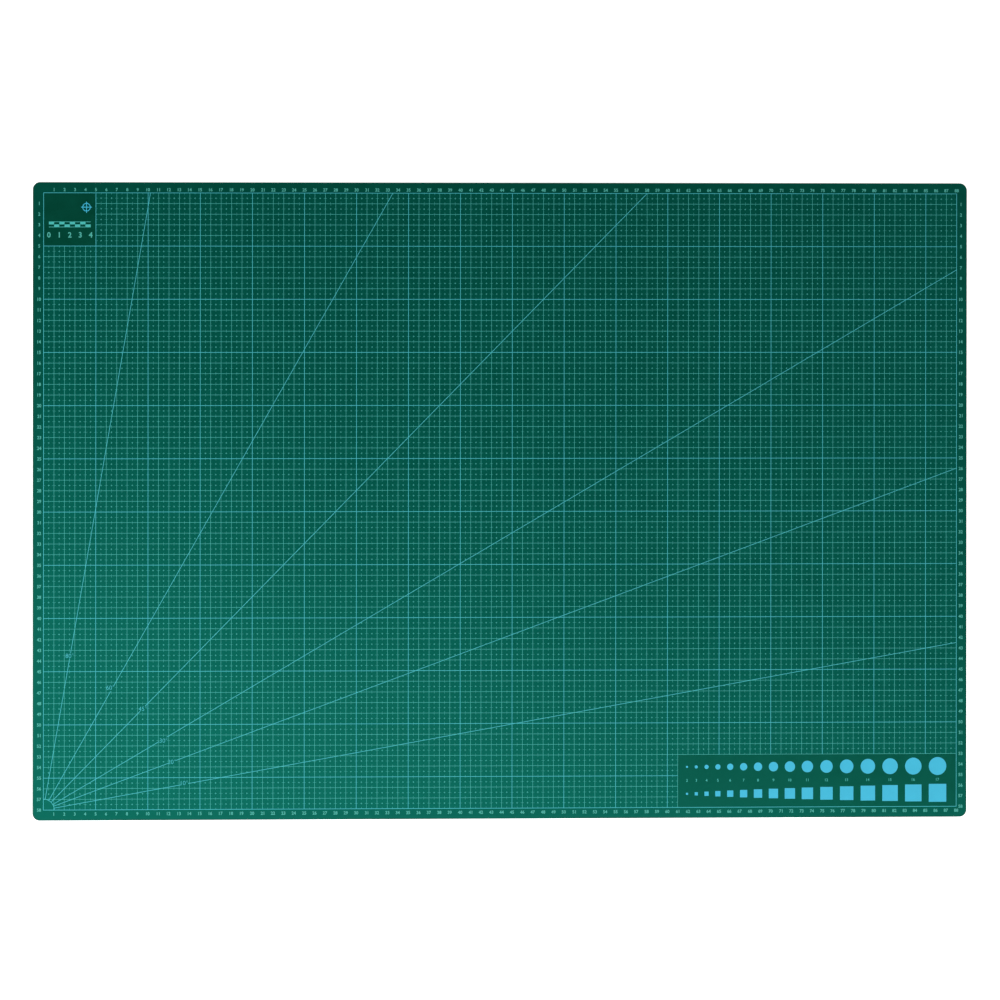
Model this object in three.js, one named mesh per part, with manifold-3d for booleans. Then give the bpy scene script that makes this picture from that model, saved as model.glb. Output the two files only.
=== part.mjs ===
// Self-healing cutting mat, 900 x 600 x 3 mm: a five-ply PVC laminate with measuring print on its upper face.
// Millimetres, +Z up. The origin is the centre of the underside. +X runs along the long edges, from left to right
// as the print is read, and +Y runs from the front edge to the back edge.
import * as THREE from "three";
import { mergeVertices } from "three/addons/utils/BufferGeometryUtils.js";
import Module from "manifold-3d";

const wasm = await Module();
wasm.setup();

// Laminate. The thicknesses are sums of powers of two, so that neighbouring plies meet exactly in 32-bit numbers.
const MAT_LENGTH = 900;
const MAT_WIDTH = 600;
const CORNER_RADIUS = 7;
const CORNER_SEGMENTS = 6;
const SOFT_PLY = 1;
const BOND_FILM = 0.125;
const RIGID_CORE = 0.75;
const EDGE_EASE = 0.25;
const EASE_SEGMENTS = 2;

// Print. The measured field is a whole number of centimetres each way, centred on the mat. Its columns are counted
// from the left and its rows from the back. Line widths are sums of powers of two too.
const INK_FILM = 0.0625;
const CENTIMETRE = 10;
const FIELD_COLUMNS = 88;
const FIELD_ROWS = 58;
const MAJOR_STEP = 5;
const FRAME_LINE = 0.75;
const MAJOR_LINE = 0.5;

// Protractor rays, from the field's front left corner. They start on a small quarter circle, the hub.
const RAY_ANGLES = [10, 20, 30, 45, 60, 80];
const RAY_LINE = 0.5;
const HUB_RADIUS = 10.5;
const HUB_SEGMENTS = 18;

// Gauge panel, in the field's front right corner: a row of discs and a row of squares, each as wide as its number.
const GAUGE_COLUMN = 61;
const GAUGE_ROW = 53;
const GAUGE_SMALLEST = 2;
const GAUGE_LARGEST = 17;
const WIDE_GAP_FROM = 11;
const GAUGE_GAP = 6.45;
const GAUGE_WIDE_GAP = 7.05;
const GAUGE_RIGHT_MARGIN = 9.6;
const DISC_ROW_HEIGHT = 38.2;
const SQUARE_ROW_HEIGHT = 12.8;
const DISC_SEGMENTS = 32;

const FIELD_LEFT = (-FIELD_COLUMNS * CENTIMETRE) / 2;
const FIELD_FRONT = (-FIELD_ROWS * CENTIMETRE) / 2;
const FIELD_RIGHT = -FIELD_LEFT;
const FIELD_BACK = -FIELD_FRONT;

const CORE_BOTTOM = SOFT_PLY + BOND_FILM;
const UPPER_FILM_BOTTOM = CORE_BOTTOM + RIGID_CORE;
const TOP_PLY_BOTTOM = UPPER_FILM_BOTTOM + BOND_FILM;
const TOP_FACE = TOP_PLY_BOTTOM + SOFT_PLY;

const softGreen = new THREE.MeshStandardMaterial({ color: 0x0a5547, roughness: 0.62, metalness: 0 });
const bondClear = new THREE.MeshStandardMaterial({ color: 0xd9d6c4, roughness: 0.35, metalness: 0 });
const coreGrey = new THREE.MeshStandardMaterial({ color: 0xb9beb8, roughness: 0.5, metalness: 0 });
const inkBlue = new THREE.MeshStandardMaterial({ color: 0x48b4d8, roughness: 0.5, metalness: 0 });

const mat = new THREE.Group();

function addPart(name, geometry, material, x, y, z) {
  const mesh = new THREE.Mesh(geometry, material);
  mesh.name = name;
  mesh.position.set(x, y, z);
  mat.add(mesh);
}

// ---- Solids for cutting and joining ----

function toSolid(geometry) {
  const bare = geometry.clone();
  bare.deleteAttribute("normal");
  bare.deleteAttribute("uv");
  const merged = mergeVertices(bare);
  return new wasm.Manifold(
    new wasm.Mesh({
      numProp: 3,
      vertProperties: merged.attributes.position.array,
      triVerts: new Uint32Array(merged.index.array),
    }),
  );
}

function toGeometry(solid) {
  const made = solid.getMesh();
  return new THREE.BufferGeometry()
    .setAttribute("position", new THREE.BufferAttribute(made.vertProperties, 3))
    .setIndex(new THREE.BufferAttribute(made.triVerts, 1));
}

function boxSolid(x0, x1, y0, y1, z0, z1) {
  const box = new THREE.BoxGeometry(x1 - x0, y1 - y0, z1 - z0);
  return toSolid(box.translate((x0 + x1) / 2, (y0 + y1) / 2, (z0 + z1) / 2));
}

// ---- Laminate ----

function matOutline() {
  const x = MAT_LENGTH / 2 - CORNER_RADIUS;
  const y = MAT_WIDTH / 2 - CORNER_RADIUS;
  const quarter = Math.PI / 2;
  const outline = new THREE.Shape();
  outline.absarc(x, y, CORNER_RADIUS, 0, quarter);
  outline.absarc(-x, y, CORNER_RADIUS, quarter, 2 * quarter);
  outline.absarc(-x, -y, CORNER_RADIUS, 2 * quarter, 3 * quarter);
  outline.absarc(x, -y, CORNER_RADIUS, 3 * quarter, 4 * quarter);
  return outline;
}

// A ply with square edges, which its neighbours cover on both faces.
function innerPly(thickness) {
  return new THREE.ExtrudeGeometry(matOutline(), {
    depth: thickness,
    bevelEnabled: false,
    curveSegments: CORNER_SEGMENTS,
  });
}

// An outer ply, from z 0 to its thickness, with the edge of its open face eased. It is extruded past its bonded face
// with both edges eased, and cut off square there.
function outerPly(openOnTop) {
  const tall = new THREE.ExtrudeGeometry(matOutline(), {
    depth: SOFT_PLY,
    bevelThickness: EDGE_EASE,
    bevelSize: EDGE_EASE,
    bevelOffset: -EDGE_EASE,
    bevelSegments: EASE_SEGMENTS,
    curveSegments: CORNER_SEGMENTS,
  });
  const keep = boxSolid(-MAT_LENGTH, MAT_LENGTH, -MAT_WIDTH, MAT_WIDTH, 0, SOFT_PLY);
  return toGeometry(toSolid(tall.translate(0, 0, openOnTop ? -EDGE_EASE : EDGE_EASE)).intersect(keep));
}

addPart("bottom_healing_ply", outerPly(false), softGreen, 0, 0, 0);
addPart("lower_bond_film", innerPly(BOND_FILM), bondClear, 0, 0, SOFT_PLY);
addPart("rigid_core_ply", innerPly(RIGID_CORE), coreGrey, 0, 0, CORE_BOTTOM);
addPart("upper_bond_film", innerPly(BOND_FILM), bondClear, 0, 0, UPPER_FILM_BOTTOM);
addPart("top_healing_ply", outerPly(true), softGreen, 0, 0, TOP_PLY_BOTTOM);

// ---- Measuring lines: one film of ink, cut from a plate the size of the outer frame ----

function halfLine(count, last) {
  return (count === 0 || count === last ? FRAME_LINE : MAJOR_LINE) / 2;
}

// The clear space between the lines at two columns and two rows.
function clearCell(leftColumn, rightColumn, backRow, frontRow) {
  return boxSolid(
    FIELD_LEFT + leftColumn * CENTIMETRE + halfLine(leftColumn, FIELD_COLUMNS),
    FIELD_LEFT + rightColumn * CENTIMETRE - halfLine(rightColumn, FIELD_COLUMNS),
    FIELD_BACK - frontRow * CENTIMETRE + halfLine(frontRow, FIELD_ROWS),
    FIELD_BACK - backRow * CENTIMETRE - halfLine(backRow, FIELD_ROWS),
    -INK_FILM,
    2 * INK_FILM,
  );
}

// Every fifth count from 0, and the last.
function lineCounts(last) {
  const counts = [];
  for (let count = 0; count < last; count += MAJOR_STEP) counts.push(count);
  return [...counts, last];
}

// The cells of the 5 cm lattice, which stops at the gauge panel, and the panel itself.
function clearCells() {
  const columns = lineCounts(FIELD_COLUMNS);
  const rows = lineCounts(FIELD_ROWS);
  const stripColumn = GAUGE_COLUMN - (GAUGE_COLUMN % MAJOR_STEP);
  const stripRow = GAUGE_ROW - (GAUGE_ROW % MAJOR_STEP) + MAJOR_STEP;
  const cells = [
    clearCell(GAUGE_COLUMN, FIELD_COLUMNS, GAUGE_ROW, FIELD_ROWS),
    clearCell(stripColumn, GAUGE_COLUMN, GAUGE_ROW, stripRow),
    clearCell(stripColumn, GAUGE_COLUMN, stripRow, FIELD_ROWS),
  ];
  for (let i = 1; i < columns.length; i += 1) {
    for (let j = 1; j < rows.length; j += 1) {
      const abovePanel = columns[i] > GAUGE_COLUMN;
      const frontRow = abovePanel ? Math.min(rows[j], GAUGE_ROW) : rows[j];
      if (rows[j - 1] < frontRow) cells.push(clearCell(columns[i - 1], columns[i], rows[j - 1], frontRow));
    }
  }
  return cells;
}

function rayBar(degrees) {
  const reach = (FIELD_COLUMNS + FIELD_ROWS) * CENTIMETRE;
  const bar = new THREE.BoxGeometry(reach - HUB_RADIUS, RAY_LINE, 1);
  bar.translate((reach + HUB_RADIUS) / 2, 0, 0);
  bar.rotateZ(THREE.MathUtils.degToRad(degrees));
  return toSolid(bar.translate(FIELD_LEFT, FIELD_FRONT, 0));
}

function hubArc() {
  const arc = new THREE.Shape();
  arc.absarc(0, 0, HUB_RADIUS + RAY_LINE / 2, 0, Math.PI / 2, false);
  arc.absarc(0, 0, HUB_RADIUS - RAY_LINE / 2, Math.PI / 2, 0, true);
  const band = new THREE.ExtrudeGeometry(arc, { depth: 1, bevelEnabled: false, curveSegments: HUB_SEGMENTS });
  return toSolid(band.translate(FIELD_LEFT, FIELD_FRONT, -0.5));
}

function measuringLines() {
  const x = FIELD_RIGHT + FRAME_LINE / 2;
  const y = FIELD_BACK + FRAME_LINE / 2;
  const rays = wasm.Manifold.union([...RAY_ANGLES.map(rayBar), hubArc()]);
  const clear = wasm.Manifold.union(clearCells()).subtract(rays);
  return toGeometry(boxSolid(-x, x, -y, y, 0, INK_FILM).subtract(clear));
}

addPart("print_measuring_lines", measuringLines(), inkBlue, 0, 0, TOP_FACE);

// ---- Size gauges: the largest stands nearest the field's right edge, and the large ones stand further apart ----

let gaugeRight = FIELD_RIGHT - GAUGE_RIGHT_MARGIN;
for (let size = GAUGE_LARGEST; size >= GAUGE_SMALLEST; size -= 1) {
  const x = gaugeRight - size / 2;
  const z = TOP_FACE + INK_FILM / 2;
  const label = String(size).padStart(2, "0") + "mm";
  const disc = new THREE.CylinderGeometry(size / 2, size / 2, INK_FILM, DISC_SEGMENTS).rotateX(Math.PI / 2);
  const square = new THREE.BoxGeometry(size, size, INK_FILM);
  addPart("gauge_disc_" + label, disc, inkBlue, x, FIELD_FRONT + DISC_ROW_HEIGHT, z);
  addPart("gauge_square_" + label, square, inkBlue, x, FIELD_FRONT + SQUARE_ROW_HEIGHT, z);
  gaugeRight -= size + (size > WIDE_GAP_FROM ? GAUGE_WIDE_GAP : GAUGE_GAP);
}

export default mat;
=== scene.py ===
"""The looks of a self-healing cutting mat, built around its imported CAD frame.

Metres, +Z up, in the CAD frame: +X runs along the long edges, from left to right as the print is
read, and +Y from the front edge to the back edge. The print's columns are counted from the left
and its rows from the back, as its numerals are.
"""

from functools import lru_cache
from math import cos, pi, radians, sin

import bmesh
import bpy
import numpy as np
from mathutils import Matrix, Vector


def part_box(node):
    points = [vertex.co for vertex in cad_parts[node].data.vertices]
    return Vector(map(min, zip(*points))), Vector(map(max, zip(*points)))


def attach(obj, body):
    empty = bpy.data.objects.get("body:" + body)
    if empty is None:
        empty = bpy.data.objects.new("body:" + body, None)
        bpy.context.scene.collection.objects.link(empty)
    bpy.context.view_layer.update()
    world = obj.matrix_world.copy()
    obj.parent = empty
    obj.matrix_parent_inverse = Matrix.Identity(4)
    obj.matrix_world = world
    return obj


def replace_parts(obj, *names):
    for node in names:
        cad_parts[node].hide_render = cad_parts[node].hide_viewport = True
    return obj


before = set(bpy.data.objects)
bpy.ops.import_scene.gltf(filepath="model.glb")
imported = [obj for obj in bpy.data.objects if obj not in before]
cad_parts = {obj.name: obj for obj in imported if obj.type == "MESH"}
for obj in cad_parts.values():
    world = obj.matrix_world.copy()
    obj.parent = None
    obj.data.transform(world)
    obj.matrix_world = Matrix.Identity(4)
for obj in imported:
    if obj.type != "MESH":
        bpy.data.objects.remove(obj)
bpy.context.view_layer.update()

MM = 0.001
CM = 0.01

# ---- Mat ----

MAT_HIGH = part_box("top_healing_ply")[1]
TOP_FACE = MAT_HIGH.z
HALF_LENGTH = MAT_HIGH.x
HALF_WIDTH = MAT_HIGH.y
CORNER_RADIUS = 7 * MM

# ---- Print layout ----

COLUMNS = 88
ROWS = 58
MAJOR_STEP = 5
LEFT = -COLUMNS * CM / 2
RIGHT = -LEFT
BACK = ROWS * CM / 2
FRONT = -BACK

FRAME_LINE = 0.45 * MM
MAJOR_LINE = 0.45 * MM
FINE_LINE = 0.28 * MM
RAY_LINE = 0.45 * MM
DASH_LINE = 0.165 * MM
DASH_REACH = 1.7 * MM
PLUS_LINE = 0.27 * MM
PLUS_REACH = 0.85 * MM

# The field and its blank panels, as first and last column, first and last row.
FIELD = (0, COLUMNS, 0, ROWS)
LABEL_PANEL = (0, 5, 0, 5)
GAUGE_PANEL = (61, COLUMNS, 53, ROWS)

RAY_ANGLES = [10, 20, 30, 45, 60, 80]
HUB_RADIUS = 10.4 * MM

# The ink stands a little proud of the mat. Its layers differ in height, so that no two faces coincide
# where lines cross. Its underside is sunk into the mat.
INK_LOW = TOP_FACE - 0.02 * MM
LATTICE_TOP = TOP_FACE + 0.055 * MM
MARK_TOP = TOP_FACE + 0.05 * MM
RAY_TOP = TOP_FACE + 0.045 * MM
SOLID_INK_TOP = TOP_FACE + 0.06 * MM


def column_x(column):
    return LEFT + column * CM


def row_y(row):
    return BACK - row * CM


# ---- Materials ----

# Nearly all of a noise's values lie between these.
NOISE_LOW = 0.3
NOISE_HIGH = 0.7


class Nodes:
    """A new material's node tree, with short calls for the nodes that the materials here share.

    roughness is the plain value, which the method of that name may replace with noise.
    """

    def __init__(self, name, roughness, specular):
        self.material = bpy.data.materials.new(name)
        self.material.use_nodes = True
        self.tree = self.material.node_tree
        self.shader = self.tree.nodes["Principled BSDF"]
        self.shader.inputs["Roughness"].default_value = roughness
        self.shader.inputs["Specular IOR Level"].default_value = specular
        self.place = self.tree.nodes.new("ShaderNodeTexCoord").outputs["Object"]

    def link(self, output, node_input):
        self.tree.links.new(output, node_input)

    def stretched(self, scale):
        """Object coordinates, multiplied along each axis."""
        mapping = self.tree.nodes.new("ShaderNodeMapping")
        mapping.inputs["Scale"].default_value = scale
        self.link(self.place, mapping.inputs["Vector"])
        return mapping.outputs["Vector"]

    def noise(self, size, detail=2.0, place=None):
        """Noise from 0 to 1 whose features are about size metres across."""
        noise = self.tree.nodes.new("ShaderNodeTexNoise")
        noise.inputs["Scale"].default_value = 1 / size
        noise.inputs["Detail"].default_value = detail
        self.link(place or self.place, noise.inputs["Vector"])
        return noise.outputs["Fac"]

    def cells(self, size):
        """Distance to the nearest of scattered points about size metres apart."""
        cells = self.tree.nodes.new("ShaderNodeTexVoronoi")
        cells.inputs["Scale"].default_value = 1 / size
        self.link(self.place, cells.inputs["Vector"])
        return cells.outputs["Distance"]

    def mix(self, factor, dark, light):
        """A colour between two, given as colours or as other nodes' outputs."""
        mix = self.tree.nodes.new("ShaderNodeMix")
        mix.data_type = "RGBA"
        self.link(factor, mix.inputs["Factor"])
        for colour, socket in ((dark, mix.inputs["A"]), (light, mix.inputs["B"])):
            if isinstance(colour, bpy.types.NodeSocket):
                self.link(colour, socket)
            else:
                socket.default_value = (*colour, 1)
        return mix.outputs["Result"]

    def spread(self, value, low=0.0, high=1.0):
        """From low to high as value goes through noise's usual range."""
        spread = self.tree.nodes.new("ShaderNodeMapRange")
        spread.inputs["From Min"].default_value = NOISE_LOW
        spread.inputs["From Max"].default_value = NOISE_HIGH
        spread.inputs["To Min"].default_value = low
        spread.inputs["To Max"].default_value = high
        self.link(value, spread.inputs["Value"])
        return spread.outputs["Result"]

    def math(self, operation, *values):
        """A Math node on plain numbers and other nodes' outputs."""
        node = self.tree.nodes.new("ShaderNodeMath")
        node.operation = operation
        for value, socket in zip(values, node.inputs):
            if isinstance(value, bpy.types.NodeSocket):
                self.link(value, socket)
            else:
                socket.default_value = value
        return node.outputs["Value"]

    def inside(self, panel):
        """1 over a panel, and 0 elsewhere."""
        first_column, last_column, first_row, last_row = panel
        axes = self.tree.nodes.new("ShaderNodeSeparateXYZ")
        self.link(self.place, axes.inputs["Vector"])
        within = []
        for axis, start, end in (
            ("X", column_x(first_column), column_x(last_column)),
            ("Y", row_y(last_row), row_y(first_row)),
        ):
            within.append(self.math("COMPARE", axes.outputs[axis], (start + end) / 2, (end - start) / 2))
        return self.math("MULTIPLY", *within)

    def colour(self, output):
        self.link(output, self.shader.inputs["Base Color"])

    def roughness(self, value, low, high):
        self.link(self.spread(value, low, high), self.shader.inputs["Roughness"])

    def bump(self, *layers):
        """Relief from (height from 0 to 1, depth in metres) layers, each on top of the one before."""
        normal = None
        for height, depth in layers:
            bump = self.tree.nodes.new("ShaderNodeBump")
            bump.inputs["Strength"].default_value = 1.0
            bump.inputs["Distance"].default_value = depth
            self.link(height, bump.inputs["Height"])
            if normal:
                self.link(normal, bump.inputs["Normal"])
            normal = bump.outputs["Normal"]
        self.link(normal, self.shader.inputs["Normal"])


# Colours are linear red, green and blue. The bare green is that of the blank panels.
BARE_DEEP = (0.0001, 0.032, 0.016)
BARE_LIGHT = (0.0003, 0.04, 0.021)
HAZED_DEEP = (0.0001, 0.048, 0.0322)
HAZED_LIGHT = (0.0003, 0.0585, 0.0393)
MARGIN_HAZE = 0.6
GREEN_GLOSS = (0.05, 1.0, 0.78)
EDGE_DEEP = (0.01, 0.06, 0.046)
EDGE_LIGHT = (0.02, 0.1, 0.075)
CORE_DEEP = (0.26, 0.25, 0.21)
CORE_LIGHT = (0.38, 0.37, 0.32)
BOND_DEEP = (0.36, 0.35, 0.28)
BOND_LIGHT = (0.5, 0.48, 0.4)


def print_haze(nodes):
    """How far the fine print lightens the green.

    It does so fully in the field, less in the margin and not at all in the blank panels.
    """
    haze = nodes.math("MULTIPLY_ADD", nodes.inside(FIELD), 1 - MARGIN_HAZE, MARGIN_HAZE)
    for panel in (LABEL_PANEL, GAUGE_PANEL):
        haze = nodes.math("SUBTRACT", haze, nodes.inside(panel))
    return haze


def green_sheet(name, printed):
    """Calendered PVC: fine pebbled grain, mottled pigment and a soft green gloss."""
    nodes = Nodes(name, roughness=0.36, specular=0.8)
    nodes.shader.inputs["Specular Tint"].default_value = (*GREEN_GLOSS, 1)
    deep, light = BARE_DEEP, BARE_LIGHT
    if printed:
        haze = print_haze(nodes)
        deep = nodes.mix(haze, deep, HAZED_DEEP)
        light = nodes.mix(haze, light, HAZED_LIGHT)
    clouded = nodes.mix(nodes.noise(120 * MM, detail=3), deep, light)
    mottle = nodes.spread(nodes.noise(1.8 * MM, detail=4))
    nodes.colour(nodes.mix(mottle, clouded, light))
    nodes.roughness(nodes.noise(14 * MM, detail=4), low=0.31, high=0.39)
    pebbles = nodes.cells(0.7 * MM)
    grain = nodes.noise(0.25 * MM, detail=4)
    nodes.bump((pebbles, 0.03 * MM), (grain, 0.015 * MM))
    return nodes.material


def green_cut_edge():
    """The die-cut side of a soft ply, drawn into fine upright scores by the blade."""
    nodes = Nodes("green_pvc_cut_edge", roughness=0.7, specular=0.25)
    scores = nodes.noise(0.4 * MM, detail=3, place=nodes.stretched((1, 1, 0.12)))
    waves = nodes.noise(2.5 * MM)
    nodes.colour(nodes.mix(scores, EDGE_DEEP, EDGE_LIGHT))
    nodes.roughness(scores, low=0.62, high=0.8)
    nodes.bump((scores, 0.03 * MM), (waves, 0.04 * MM))
    return nodes.material


def core_plastic():
    nodes = Nodes("rigid_core_plastic", roughness=0.5, specular=0.4)
    grain = nodes.noise(0.5 * MM, detail=3, place=nodes.stretched((0.3, 0.3, 1)))
    nodes.colour(nodes.mix(grain, CORE_DEEP, CORE_LIGHT))
    nodes.roughness(grain, low=0.42, high=0.6)
    nodes.bump((grain, 0.02 * MM))
    return nodes.material


def bond_plastic():
    nodes = Nodes("bond_film_plastic", roughness=0.4, specular=0.4)
    streaks = nodes.noise(1.5 * MM, place=nodes.stretched((0.5, 0.5, 3)))
    nodes.colour(nodes.mix(streaks, BOND_DEEP, BOND_LIGHT))
    nodes.roughness(streaks, low=0.35, high=0.5)
    nodes.bump((streaks, 0.008 * MM))
    return nodes.material


def screen_ink(name, thin, full):
    """Matte screen-printing ink, uneven at the scale of the screen's mesh and slightly clouded."""
    nodes = Nodes(name, roughness=0.5, specular=0.35)
    clouded = nodes.mix(nodes.spread(nodes.noise(9 * MM, detail=3)), thin, full)
    mesh_marks = nodes.noise(0.35 * MM)
    nodes.colour(nodes.mix(mesh_marks, clouded, full))
    nodes.roughness(nodes.noise(4 * MM, detail=3), low=0.44, high=0.6)
    nodes.bump((nodes.noise(0.3 * MM, detail=3), 0.006 * MM))
    return nodes.material


FACE = green_sheet("green_pvc_face", printed=True)
UNDERSIDE = green_sheet("green_pvc_underside", printed=False)
CUT_EDGE = green_cut_edge()
CORE = core_plastic()
BOND = bond_plastic()
SOLID_INK = screen_ink("sky_blue_ink_solid", thin=(0.034, 0.42, 0.61), full=(0.04, 0.46, 0.66))
MAJOR_INK = screen_ink("sky_blue_ink_major_lines", thin=(0.042, 0.43, 0.49), full=(0.05, 0.48, 0.545))
LINE_INK = screen_ink("sky_blue_ink_lines", thin=(0.046, 0.42, 0.385), full=(0.056, 0.48, 0.44))
MARK_INK = screen_ink("sky_blue_ink_marks", thin=(0.053, 0.37, 0.315), full=(0.064, 0.42, 0.355))


# ---- Pieces ----


def add_piece(name, vertices, faces, materials, slot):
    """A new object that rides on the mat. Its faces have the first of the materials."""
    mesh = bpy.data.meshes.new(name)
    mesh.from_pydata(vertices, [], faces)
    mesh.update()
    for material in materials:
        mesh.materials.append(material)
    piece = bpy.data.objects.new(name, mesh)
    bpy.context.scene.collection.objects.link(piece)
    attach(piece, "root")
    return piece


def prisms(outlines, low, high):
    """Closed upright prisms on outlines of equally many points, counter-clockwise from above."""
    outlines = np.asarray(outlines, float)
    count, corners = outlines.shape[:2]
    vertices = np.empty((count, 2, corners, 3))
    vertices[..., :2] = outlines[:, None]
    vertices[:, 0, :, 2] = low
    vertices[:, 1, :, 2] = high
    bottom = np.arange(corners)
    top = bottom + corners
    after = np.roll(bottom, -1)
    sides = np.stack([bottom, after, after + corners, top], 1)
    faces = []
    for first in range(0, 2 * corners * count, 2 * corners):
        faces.append((bottom[::-1] + first).tolist())
        faces.append((top + first).tolist())
        faces.extend((sides + first).tolist())
    return vertices.reshape(-1, 3), faces


def joined(solids):
    """Several (vertices, faces) pairs as one."""
    vertices, faces, first = [], [], 0
    for points, polygons in solids:
        vertices.append(points)
        faces.extend([[first + i for i in polygon] for polygon in polygons])
        first += len(points)
    return np.concatenate(vertices), faces


# ---- Laminate ----

CORNER_STEPS = 24
ROUND_STEPS = 6
SOFT_ROUND = 0.28 * MM
# Each soft ply is drawn in by the first of these at its bonded face, over the height of the second.
PINCH = 0.05 * MM
PINCH_HEIGHT = 0.2 * MM
FILM_RECESS = 0.05 * MM
CORE_RECESS = 0.08 * MM


def mat_outline(inset):
    """The mat's outline, counter-clockwise, moved inwards by inset."""
    radius = CORNER_RADIUS - inset
    x = HALF_LENGTH - CORNER_RADIUS
    y = HALF_WIDTH - CORNER_RADIUS
    points = []
    for corner, (cx, cy) in enumerate([(x, y), (-x, y), (-x, -y), (x, -y)]):
        for step in range(CORNER_STEPS + 1):
            angle = (corner + step / CORNER_STEPS) * pi / 2
            points.append((cx + radius * cos(angle), cy + radius * sin(angle)))
    return points


def rounded_edge(face_z, towards):
    """Edge profile as (inset, z), from the side to the flat face, whose height is face_z.

    towards is 1 for an upper edge and -1 for a lower one.
    """
    profile = []
    for step in range(ROUND_STEPS + 1):
        angle = step / ROUND_STEPS * pi / 2
        inset = SOFT_ROUND * (1 - cos(angle))
        drop = SOFT_ROUND * (1 - sin(angle))
        profile.append((inset, face_z - towards * drop))
    return profile


def ply(node, profile, materials, slot):
    """One ply, as rings of the mat's outline along a profile of (inset, z) from low to high.

    Its flat faces have the first of the materials, and its side has the last.
    """
    rings = [[(x, y, z) for x, y in mat_outline(inset)] for inset, z in profile]
    size = len(rings[0])
    faces = [list(range(size))[::-1], list(range((len(rings) - 1) * size, len(rings) * size))]
    for ring in range(len(rings) - 1):
        for i in range(size):
            after = (i + 1) % size
            low, high = ring * size, (ring + 1) * size
            faces.append([low + i, low + after, high + after, high + i])
    piece = add_piece("mat_" + node, np.concatenate(rings), faces, materials, slot)
    for polygon in piece.data.polygons[2:]:
        polygon.use_smooth = True
        polygon.material_index = len(materials) - 1
    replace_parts(piece, node)


def ply_heights(node):
    low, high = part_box(node)
    return low.z, high.z


def laminate():
    """Five plies. The stiffer layers stand back a little between the two soft plies."""
    low, high = ply_heights("top_healing_ply")
    top = [(PINCH, low), (0, low + PINCH_HEIGHT), *rounded_edge(high, 1)]
    ply("top_healing_ply", top, [FACE, CUT_EDGE], "green_pvc")
    low, high = ply_heights("bottom_healing_ply")
    bottom = [*rounded_edge(low, -1)[::-1], (0, high - PINCH_HEIGHT), (PINCH, high)]
    ply("bottom_healing_ply", bottom, [UNDERSIDE, CUT_EDGE], "green_pvc")
    for node, recess, material, slot in (
        ("lower_bond_film", FILM_RECESS, BOND, "bond_film"),
        ("upper_bond_film", FILM_RECESS, BOND, "bond_film"),
        ("rigid_core_ply", CORE_RECESS, CORE, "rigid_core"),
    ):
        low, high = ply_heights(node)
        ply(node, [(recess, low), (recess, high)], [material], slot)


# ---- Centimetre grid ----


def half_line(count, last):
    if count in (0, last):
        return FRAME_LINE / 2
    return (MAJOR_LINE if count % MAJOR_STEP == 0 else FINE_LINE) / 2


def line_edges(positions, last, counts):
    """Both edges of each line, in the order of its position."""
    edges = []
    for position, count in zip(positions, counts):
        half = half_line(count, last)
        edges += [position - half, position + half]
    return np.array(edges)


def grid_film(xs, ys, inked, low, high):
    """A closed film over the inked cells of the uneven grid xs by ys, and each face's cell."""
    ids = np.arange(len(xs) * len(ys)).reshape(len(xs), len(ys))
    upper = ids.size
    i, j = np.nonzero(inked)
    corners = [ids[i, j], ids[i + 1, j], ids[i + 1, j + 1], ids[i, j + 1]]
    faces = [np.stack(corners, 1) + upper, np.stack(corners[::-1], 1)]
    cells = [np.stack([i, j], 1)] * 2
    around = np.pad(inked, 1)
    neighbours = [around[i + 1, j], around[i + 2, j + 1], around[i + 1, j + 2], around[i, j + 1]]
    for side, neighbour in enumerate(neighbours):
        start = corners[side][~neighbour]
        end = corners[(side + 1) % 4][~neighbour]
        faces.append(np.stack([start, end, end + upper, start + upper], 1))
        cells.append(cells[0][~neighbour])
    faces = np.concatenate(faces)
    flat = np.stack(np.meshgrid(xs, ys, indexing="ij"), -1).reshape(-1, 2)
    points = np.concatenate([np.c_[flat, np.full(upper, z)] for z in (low, high)])
    used, renumbered = np.unique(faces, return_inverse=True)
    return points[used], renumbered.reshape(faces.shape).tolist(), np.concatenate(cells)


def on_major_line(counts, last):
    """For each strip between the line edges of counts, whether it lies on a 5 cm line or on the frame."""
    strips = np.zeros(2 * len(counts) - 1, bool)
    strips[::2] = [count % MAJOR_STEP == 0 or count == last for count in counts]
    return strips


def centimetre_grid():
    """Every centimetre line and the frame as one film, left open over the blank panels."""
    columns = range(COLUMNS + 1)
    rows = range(ROWS, -1, -1)
    xs = line_edges([column_x(c) for c in columns], COLUMNS, columns)
    ys = line_edges([row_y(r) for r in rows], ROWS, rows)
    # Even strips of the uneven grid are lines, and odd ones are the clear space between them.
    inked = np.zeros((len(xs) - 1, len(ys) - 1), bool)
    inked[::2, :] = True
    inked[:, ::2] = True
    for first_column, last_column, first_row, last_row in (LABEL_PANEL, GAUGE_PANEL):
        front, back = ROWS - last_row, ROWS - first_row
        inked[2 * first_column + 1 : 2 * last_column, 2 * front + 1 : 2 * back] = False
    vertices, faces, cells = grid_film(xs, ys, inked, INK_LOW, LATTICE_TOP)
    piece = add_piece("print_centimetre_grid", vertices, faces, [LINE_INK, MAJOR_INK], "print_ink")
    major = on_major_line(columns, COLUMNS)[cells[:, 0]] | on_major_line(rows, ROWS)[cells[:, 1]]
    piece.data.polygons.foreach_set("material_index", major.astype(np.int32))
    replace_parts(piece, "print_measuring_lines")


# ---- Half-centimetre marks ----

COLUMN_LINES = LEFT + CM * np.arange(COLUMNS + 1)
ROW_LINES = FRONT + CM * np.arange(ROWS + 1)
COLUMN_MIDDLES = LEFT + CM * (np.arange(COLUMNS) + 0.5)
ROW_MIDDLES = FRONT + CM * (np.arange(ROWS) + 0.5)


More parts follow.
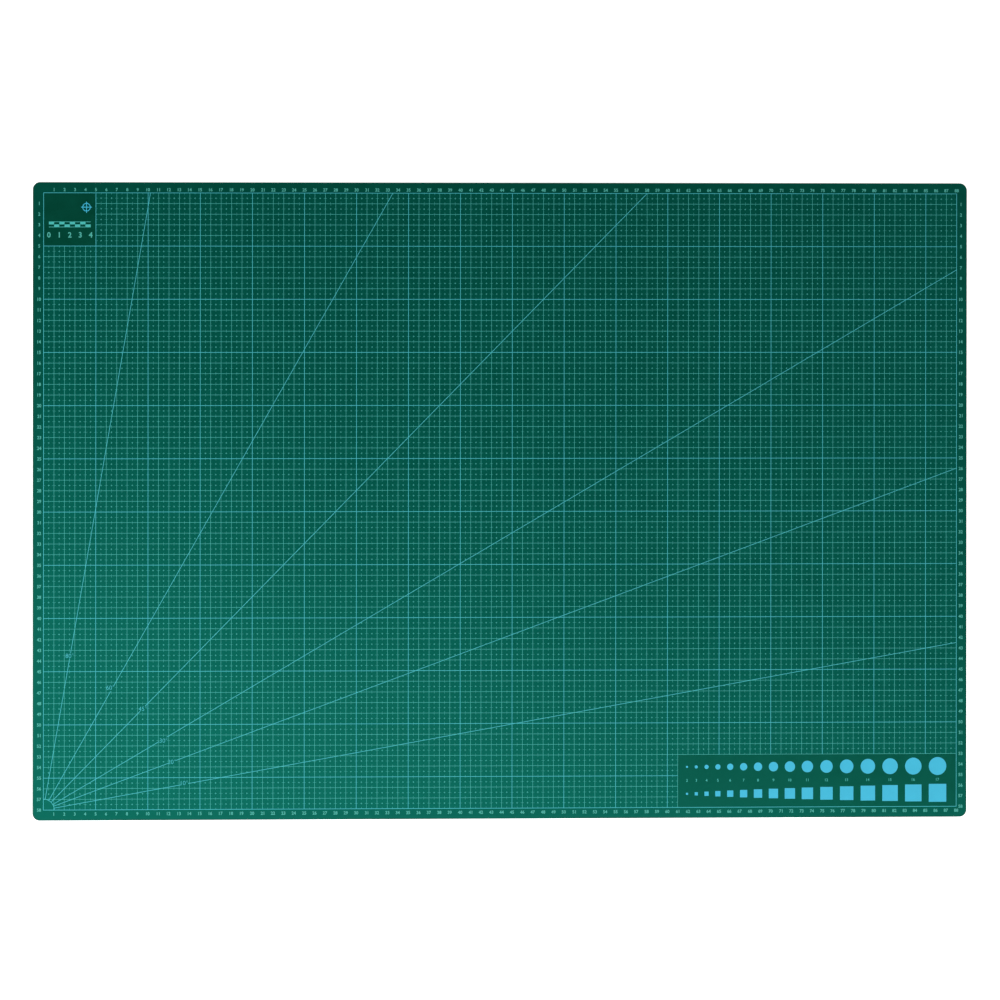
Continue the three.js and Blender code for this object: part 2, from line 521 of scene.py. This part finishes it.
def cropped(bars, panel):
    """Bars (x0, x1, y0, y1) without what reaches into a panel."""
    first_column, last_column, first_row, last_row = panel
    left, right = column_x(first_column), column_x(last_column)
    front, back = row_y(last_row), row_y(first_row)
    x0, x1, y0, y1 = bars.T.copy()
    meets = (x0 < right) & (x1 > left) & (y0 < back) & (y1 > front)
    from_left = meets & (x0 < left)
    from_right = meets & (x1 > right)
    from_front = meets & (y0 < front)
    from_back = meets & (y1 > back)
    x1[from_left] = left
    x0[from_right] = right
    y1[from_front] = front
    y0[from_back] = back
    outside = ~meets | from_left | from_right | from_front | from_back
    return np.stack([x0, x1, y0, y1], 1)[outside]


def bar_outlines(bars):
    """The corners of each bar (x0, x1, y0, y1), counter-clockwise."""
    x0, x1, y0, y1 = bars.T
    xs = np.stack([x0, x1, x1, x0], 1)
    ys = np.stack([y0, y0, y1, y1], 1)
    return np.stack([xs, ys], 2)


def over_hub(x, y):
    """Whether places lie in the field's front left square centimetre, which is the hub's."""
    return (x < LEFT + CM) & (y < FRONT + CM)


def crossing_dashes(xs, ys, reach_x, reach_y):
    """Dashes centred on each of xs at each of ys, inside the field and clear of the panels and the hub."""
    x, y = (values.ravel() for values in np.meshgrid(xs, ys))
    hub = over_hub(x, y)
    x, y = x[~hub], y[~hub]
    bars = np.stack(
        [
            np.maximum(x - reach_x, LEFT),
            np.minimum(x + reach_x, RIGHT),
            np.maximum(y - reach_y, FRONT),
            np.minimum(y + reach_y, BACK),
        ],
        1,
    )
    return cropped(cropped(bars, LABEL_PANEL), GAUGE_PANEL)


def half_centimetre_dashes():
    """Short dashes across every centimetre line, halfway between the lines that cross it."""
    directions = {
        "across": crossing_dashes(COLUMN_LINES, ROW_MIDDLES, DASH_REACH, DASH_LINE / 2),
        "along": crossing_dashes(COLUMN_MIDDLES, ROW_LINES, DASH_LINE / 2, DASH_REACH),
    }
    for direction, bars in directions.items():
        solid = prisms(bar_outlines(bars), INK_LOW, MARK_TOP)
        add_piece("print_half_centimetre_dashes_" + direction, *solid, [LINE_INK], "print_ink")


def plus_outline(reach, line):
    """A plus sign about the origin, counter-clockwise."""
    half = line / 2
    arm = [(half, -half), (reach, -half), (reach, half)]
    points = []
    for quarter in range(4):
        angle = quarter * pi / 2
        points += [(x * cos(angle) - y * sin(angle), x * sin(angle) + y * cos(angle)) for x, y in arm]
    return np.array(points)


def inside(x, y, panel):
    """Whether places lie inside a panel."""
    first_column, last_column, first_row, last_row = panel
    in_columns = (x > column_x(first_column)) & (x < column_x(last_column))
    return in_columns & (y < row_y(first_row)) & (y > row_y(last_row))


def half_centimetre_pluses():
    """A plus in the middle of every square centimetre, in two pieces, one for each half of the field."""
    x, y = (values.ravel() for values in np.meshgrid(COLUMN_MIDDLES, ROW_MIDDLES))
    blank = inside(x, y, LABEL_PANEL) | inside(x, y, GAUGE_PANEL) | over_hub(x, y)
    for tag_x, tag_y in ANGLE_TAGS.values():
        blank |= (abs(x - LEFT - tag_x) < PLUS_CLEAR) & (abs(y - FRONT - tag_y) < PLUS_CLEAR)
    centres = np.stack([x, y], 1)[~blank]
    sign = plus_outline(PLUS_REACH, PLUS_LINE)
    for side, chosen in (("left", centres[:, 0] < 0), ("right", centres[:, 0] > 0)):
        solid = prisms(centres[chosen][:, None] + sign, INK_LOW, MARK_TOP)
        add_piece("print_half_centimetre_pluses_" + side, *solid, [LINE_INK], "print_ink")


# ---- Protractor ----

# Where each angle's tag stands, from the field's front left corner.
ANGLE_TAGS = {
    10: (13.5 * CM, 2.5 * CM),
    20: (12.3 * CM, 4.5 * CM),
    30: (11.5 * CM, 6.5 * CM),
    45: (9.5 * CM, 9.5 * CM),
    60: (6.4 * CM, 11.5 * CM),
    80: (2.5 * CM, 14.5 * CM),
}
TAG_HEIGHT = 4.2 * MM
# From a tag's centre, the clear space for its ray, beside and above, and for the pluses round it.
TAG_CLEAR_BESIDE = 3.6 * MM
TAG_CLEAR_ABOVE = 2.5 * MM
PLUS_CLEAR = CM / 4
QUARTER_STEPS = 36


def ray_bar(degrees, start, end):
    """A line along a ray, from one distance to another from the field's front left corner."""
    along = np.array([cos(radians(degrees)), sin(radians(degrees))])
    aside = np.array([-along[1], along[0]]) * RAY_LINE / 2
    corner = np.array([LEFT, FRONT])
    return [
        corner + along * start - aside,
        corner + along * end - aside,
        corner + along * end + aside,
        corner + along * start + aside,
    ]


def quarter_band(x, y, radius, line, quarter, trim=0.0):
    """A quarter of a circle's line, trimmed at both ends. Quarters count from 0, counter-clockwise."""
    start = quarter * pi / 2 + trim / radius
    end = (quarter + 1) * pi / 2 - trim / radius
    turns = np.linspace(start, end, QUARTER_STEPS + 1)
    around = np.stack([np.cos(turns), np.sin(turns)], 1)
    outer = around * (radius + line / 2)
    inner = around[::-1] * (radius - line / 2)
    return np.concatenate([outer, inner]) + (x, y)


def protractor():
    """Rays from the hub's arc to the frame, each broken inside the clear box of its tag."""
    bars = []
    for degrees in RAY_ANGLES:
        tag_x, tag_y = ANGLE_TAGS[degrees]
        along_x, along_y = cos(radians(degrees)), sin(radians(degrees))
        tag = tag_x * along_x + tag_y * along_y
        gap = min(TAG_CLEAR_BESIDE / along_x, TAG_CLEAR_ABOVE / along_y)
        end = min(COLUMNS * CM / along_x, ROWS * CM / along_y)
        bars.append(ray_bar(degrees, HUB_RADIUS, tag - gap))
        bars.append(ray_bar(degrees, tag + gap, end))
    hub = [quarter_band(LEFT, FRONT, HUB_RADIUS, RAY_LINE, 0)]
    solids = [prisms(bars, INK_LOW, RAY_TOP), prisms(hub, INK_LOW, RAY_TOP)]
    add_piece("print_protractor_rays", *joined(solids), [MAJOR_INK], "print_ink")


# ---- Numerals ----

NUMERAL_HEIGHT = 3.1 * MM
# From the field's edge to the middle of its numerals.
NUMERALS_BEHIND = 3.0 * MM
NUMERALS_BEFORE = 3.8 * MM
NUMERALS_BESIDE = 4.2 * MM
GLYPH_RESOLUTION = 3
GLYPH_WELD = 1e-5
FINE_STROKES = -0.012
THIN_STROKES = 0.008
BOLD_STROKES = 0.025


def even_out_fill(solid):
    """Turn the edges of a glyph's flat triangles, so that none of them is a sliver. Its sides are quads."""
    flat = [face for face in solid.faces if len(face.verts) == 3]
    between = [edge for edge in solid.edges if all(len(face.verts) == 3 for face in edge.link_faces)]
    bmesh.ops.beautify_fill(solid, faces=flat, edges=between, method="ANGLE")


@lru_cache(maxsize=None)
def lettering(text, strokes):
    """A closed solid of text, one cap height tall, centred on the origin, from z 0 to 1.

    A stroke is 2 * strokes wider than the typeface's own, before the text is scaled to its height.
    """
    half_depth = 0.5
    curve = bpy.data.curves.new("lettering", "FONT")
    curve.body = text
    curve.resolution_u = GLYPH_RESOLUTION
    curve.extrude = half_depth
    curve.offset = strokes
    carrier = bpy.data.objects.new("lettering", curve)
    bpy.context.scene.collection.objects.link(carrier)
    bpy.context.view_layer.update()
    mesh = bpy.data.meshes.new_from_object(carrier.evaluated_get(bpy.context.evaluated_depsgraph_get()))
    bpy.data.objects.remove(carrier)
    bpy.data.curves.remove(curve)
    solid = bmesh.new()
    solid.from_mesh(mesh)
    bpy.data.meshes.remove(mesh)
    bmesh.ops.remove_doubles(solid, verts=solid.verts, dist=GLYPH_WELD)
    bmesh.ops.recalc_face_normals(solid, faces=solid.faces)
    even_out_fill(solid)
    vertices = np.array([vertex.co for vertex in solid.verts])
    faces = [[vertex.index for vertex in face.verts] for face in solid.faces]
    solid.free()
    low, high = vertices.min(0), vertices.max(0)
    cap_height = high[1] - low[1]
    vertices[:, :2] = (vertices[:, :2] - (low[:2] + high[:2]) / 2) / cap_height
    vertices[:, 2] += half_depth
    return vertices, faces


def lettered(name, items, height, strokes, material):
    """One piece of ink with each of the items, (text, x, y), centred on its place."""
    solids = []
    for text, x, y in items:
        vertices, faces = lettering(text, strokes)
        scale = np.array([height, height, MARK_TOP - INK_LOW])
        solids.append((vertices * scale + np.array([x, y, INK_LOW]), faces))
    add_piece(name, *joined(solids), [material], "print_ink")


def ruler_numerals():
    """Centimetres along all four sides, counted from the left and from the back."""
    columns = range(1, COLUMNS + 1)
    rows = range(1, ROWS + 1)
    sides = {
        "back": [(str(c), column_x(c), BACK + NUMERALS_BEHIND) for c in columns],
        "front": [(str(c), column_x(c), FRONT - NUMERALS_BEFORE) for c in columns],
        "left": [(str(r), LEFT - NUMERALS_BESIDE, row_y(r)) for r in rows],
        "right": [(str(r), RIGHT + NUMERALS_BESIDE, row_y(r)) for r in rows],
    }
    for side, items in sides.items():
        lettered("print_numerals_" + side, items, NUMERAL_HEIGHT, BOLD_STROKES, MARK_INK)


def angle_tags():
    items = [(f"{degrees}°", LEFT + x, FRONT + y) for degrees, (x, y) in ANGLE_TAGS.items()]
    lettered("print_angle_tags", items, TAG_HEIGHT, FINE_STROKES, MAJOR_INK)


# ---- Label panel: plain measuring marks stand where a maker's text would ----

TARGET_X = LEFT + 41 * MM
TARGET_Y = BACK - 13.5 * MM
TARGET_RADIUS = 3.6 * MM
TARGET_REACH = 5.2 * MM
TARGET_LINE = 0.75 * MM
SCALE_LEFT = LEFT + 5 * MM
SCALE_BACK = BACK - 27.5 * MM
SCALE_CENTIMETRES = 4
SCALE_STEPS = 2 * SCALE_CENTIMETRES
SCALE_STEP = CM / 2
SCALE_ROW = 2.2 * MM
# So narrow that it can't be seen, but no two blocks share an edge.
BLOCK_GAP = 0.02 * MM
SCALE_NUMERAL_Y = BACK - 39.5 * MM
SCALE_NUMERAL_HEIGHT = 5.2 * MM


def centre_target():
    """A ring with a cross through it. The ring's four quarters end inside the arms of the cross."""
    cross = [plus_outline(TARGET_REACH, TARGET_LINE) + (TARGET_X, TARGET_Y)]
    trim = TARGET_LINE / 4
    ring = []
    for quarter in range(4):
        ring.append(quarter_band(TARGET_X, TARGET_Y, TARGET_RADIUS, TARGET_LINE, quarter, trim))
    solids = [prisms(cross, INK_LOW, SOLID_INK_TOP), prisms(ring, INK_LOW, RAY_TOP)]
    add_piece("print_centre_target", *joined(solids), [SOLID_INK], "print_ink")


def scale_bar():
    """Half-centimetre blocks, filled by turns in two rows, with a line behind and before them."""
    right = SCALE_LEFT + SCALE_STEPS * SCALE_STEP
    front = SCALE_BACK - 2 * SCALE_ROW
    bars = [
        (SCALE_LEFT, right, SCALE_BACK, SCALE_BACK + RAY_LINE),
        (SCALE_LEFT, right, front - RAY_LINE, front),
    ]
    for step in range(SCALE_STEPS):
        x = SCALE_LEFT + step * SCALE_STEP
        y = SCALE_BACK - step % 2 * SCALE_ROW
        bars.append((x + BLOCK_GAP, x + SCALE_STEP - BLOCK_GAP, y - SCALE_ROW + BLOCK_GAP, y - BLOCK_GAP))
    solid = prisms(bar_outlines(np.array(bars)), INK_LOW, MARK_TOP)
    add_piece("print_scale_bar", *solid, [LINE_INK], "print_ink")
    numerals = [(str(c), SCALE_LEFT + c * CM, SCALE_NUMERAL_Y) for c in range(SCALE_CENTIMETRES + 1)]
    lettered("print_scale_numerals", numerals, SCALE_NUMERAL_HEIGHT, BOLD_STROKES, MARK_INK)


# ---- Gauge panel ----

# The gauges' widths in millimetres, as their nodes are named.
GAUGE_SIZES = range(2, 18)
DISC_STEPS = 96
GAUGE_NUMERAL_HEIGHT = 2.6 * MM


def node_centre(node):
    """The middle of a CAD node, as seen from above."""
    low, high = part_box(node)
    return (low.x + high.x) / 2, (low.y + high.y) / 2


def ink_disc(size, x, y):
    radius = size * MM / 2
    turns = [step / DISC_STEPS * 2 * pi for step in range(DISC_STEPS)]
    outline = [(x + radius * cos(turn), y + radius * sin(turn)) for turn in turns]
    solid = prisms([outline], INK_LOW, SOLID_INK_TOP)
    return add_piece(f"ink_disc_{size:02d}mm", *solid, [SOLID_INK], "print_ink")


def gauges():
    """Discs as fine prisms in place of the CAD ones. The CAD squares stay, in solid ink."""
    numerals = []
    for size in GAUGE_SIZES:
        disc_node = f"gauge_disc_{size:02d}mm"
        square_node = f"gauge_square_{size:02d}mm"
        x, disc_y = node_centre(disc_node)
        square_y = node_centre(square_node)[1]
        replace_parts(ink_disc(size, x, disc_y), disc_node)
        square_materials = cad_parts[square_node].data.materials
        square_materials.clear()
        square_materials.append(SOLID_INK)
        numerals.append((str(size), x, (disc_y + square_y) / 2))
    lettered("print_gauge_numerals", numerals, GAUGE_NUMERAL_HEIGHT, THIN_STROKES, LINE_INK)


# ---- Stage, light and camera ----

FLOOR_REACH = 25.0
FLOOR_CLOUDS = 0.5
FLOOR_DULL = (0.86, 0.86, 0.86)
FLOOR_BRIGHT = (0.88, 0.88, 0.88)
FLOOR_GLOW = 0.93
ROOM_LIGHT = 0.045
WHITE = (1, 1, 1, 1)


def white_floor():
    nodes = Nodes("white_floor", roughness=0.9, specular=0.0)
    nodes.colour(nodes.mix(nodes.noise(FLOOR_CLOUDS), FLOOR_DULL, FLOOR_BRIGHT))
    nodes.shader.inputs["Emission Color"].default_value = WHITE
    nodes.shader.inputs["Emission Strength"].default_value = FLOOR_GLOW
    x = y = FLOOR_REACH
    mesh = bpy.data.meshes.new("floor")
    mesh.from_pydata([(-x, -y, 0), (x, -y, 0), (x, y, 0), (-x, y, 0)], [], [(0, 1, 2, 3)])
    mesh.materials.append(nodes.material)
    floor = bpy.data.objects.new("floor", mesh)
    bpy.context.scene.collection.objects.link(floor)


def softbox(name, location, aim, width, depth, power):
    """A soft lamp of so many watts that looks from its location to its aim."""
    light = bpy.data.lights.new(name, "AREA")
    light.shape = "RECTANGLE"
    light.size = width
    light.size_y = depth
    light.energy = power
    lamp = bpy.data.objects.new(name, light)
    lamp.location = location
    lamp.rotation_euler = (Vector(aim) - Vector(location)).to_track_quat("-Z", "Y").to_euler()
    lamp.visible_camera = False
    bpy.context.scene.collection.objects.link(lamp)


def studio():
    white_floor()
    softbox("front_softbox", (-0.2, -0.33, 0.8), aim=(-0.05, 0.1, 0), width=2.4, depth=0.55, power=7.4)
    softbox("left_softbox", (-2.0, -0.8, 1.5), aim=(0, -0.4, 0), width=1.0, depth=1.4, power=48)
    softbox("right_softbox", (2.1, -0.2, 1.5), aim=(0, -0.3, 0), width=1.0, depth=1.4, power=27)
    world = bpy.data.worlds.new("studio")
    world.use_nodes = True
    background = world.node_tree.nodes["Background"]
    background.inputs["Color"].default_value = WHITE
    background.inputs["Strength"].default_value = ROOM_LIGHT
    bpy.context.scene.world = world
    bpy.context.scene.view_settings.view_transform = "Standard"


# The camera stands high above the mat and some way to its left, and looks down at its middle.
CAMERA_DISTANCE = 22.07
CAMERA_LENS_MM = 842.3
CAMERA_SENSOR_MM = 36
CAMERA_NEAR = 0.1
CAMERA_FAR = 100
AIM = (-1.75 * MM, 0.75 * MM, TOP_FACE)
LEAN_LEFT = radians(11.876)
LEAN_BACK = radians(0.624)
ROLL = radians(0.085)


def camera():
    data = bpy.data.cameras.new("camera")
    data.lens = CAMERA_LENS_MM
    data.sensor_width = CAMERA_SENSOR_MM
    data.clip_start = CAMERA_NEAR
    data.clip_end = CAMERA_FAR
    eye = bpy.data.objects.new("camera", data)
    lean_back = Matrix.Rotation(-LEAN_BACK, 4, "X")
    lean_left = Matrix.Rotation(-LEAN_LEFT, 4, "Y")
    turn = lean_back @ lean_left @ Matrix.Rotation(-ROLL, 4, "Z")
    eye.matrix_world = Matrix.Translation(AIM) @ turn @ Matrix.Translation((0, 0, CAMERA_DISTANCE))
    bpy.context.scene.collection.objects.link(eye)
    bpy.context.scene.camera = eye


laminate()
centimetre_grid()
half_centimetre_dashes()
half_centimetre_pluses()
protractor()
ruler_numerals()
angle_tags()
centre_target()
scale_bar()
gauges()
studio()
camera()
